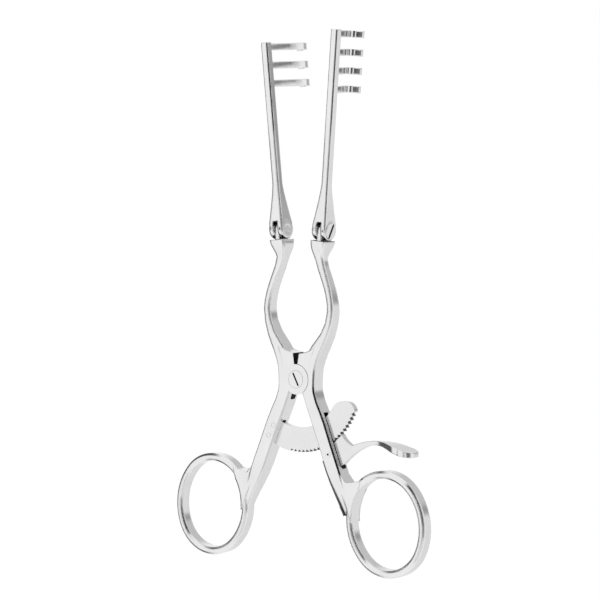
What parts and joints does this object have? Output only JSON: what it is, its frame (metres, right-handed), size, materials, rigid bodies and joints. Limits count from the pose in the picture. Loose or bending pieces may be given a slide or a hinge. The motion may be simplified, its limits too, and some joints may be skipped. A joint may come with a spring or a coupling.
{
  "type": "self retaining retractor",
  "caption": "Hand-held retractor with finger rings, a ratchet rack with a sprung release lever, and long hinged blades that end in hooked prongs.",
  "frame": {"origin": "on the axis of the pivot screw, in the plane of the handles' front faces", "axes": "+Z from the finger rings to the blade tips, +X to the half that carries the release lever, +Y to the back, where the prongs point"},
  "size_m": [0.095, 0.0184, 0.1656],
  "materials": {
    "handle_steel": "satin polished stainless steel with bright bevelled edges",
    "blade_steel": "satin polished stainless steel, ground along the bar",
    "rack_steel": "satin stainless steel plate with milled teeth",
    "lever_steel": "satin polished stainless steel",
    "screw_steel": "turned stainless steel",
    "spring_steel": "cold rolled stainless spring steel"
  },
  "bodies": {
    "left_half": {"handle_left": "handle_steel", "ratchet_rack": "rack_steel", "rack_rivet_upper": "handle_steel", "rack_rivet_lower": "handle_steel"},
    "right_half": {"handle_right": "handle_steel", "pivot_screw": "screw_steel", "lever_pin": "handle_steel", "leaf_spring": "spring_steel", "spring_screw": "screw_steel"},
    "lever": {"release_lever": "lever_steel"},
    "left_blade": {"blade_left": "blade_steel", "hinge_screw_left": "screw_steel"},
    "right_blade": {"blade_right": "blade_steel", "hinge_screw_right": "screw_steel"}
  },
  "joints": [
    {"name": "spread", "type": "hinge", "parent": "left_half", "child": "right_half", "pos_m": [0, 0.00275, 0], "axis": [0, 1, 0], "range_deg": [-12.5, 42]},
    {"name": "release", "type": "hinge", "parent": "right_half", "child": "lever", "pos_m": [0.0125, 0.00275, -0.02226], "axis": [0, 1, 0], "range_deg": [0, 8], "stiffness_Nm_per_rad": 0.3, "springref_deg": -2.86, "deforming": ["leaf_spring"]},
    {"name": "tilt_left", "type": "hinge", "parent": "left_half", "child": "left_blade", "pos_m": [-0.0081, 0.00275, 0.046], "axis": [0.9962, 0, 0.0872], "range_deg": [-75, 75]},
    {"name": "tilt_right", "type": "hinge", "parent": "right_half", "child": "right_blade", "pos_m": [0.0081, 0.00275, 0.046], "axis": [0.9962, 0, -0.0872], "range_deg": [-75, 75]}
  ]
}
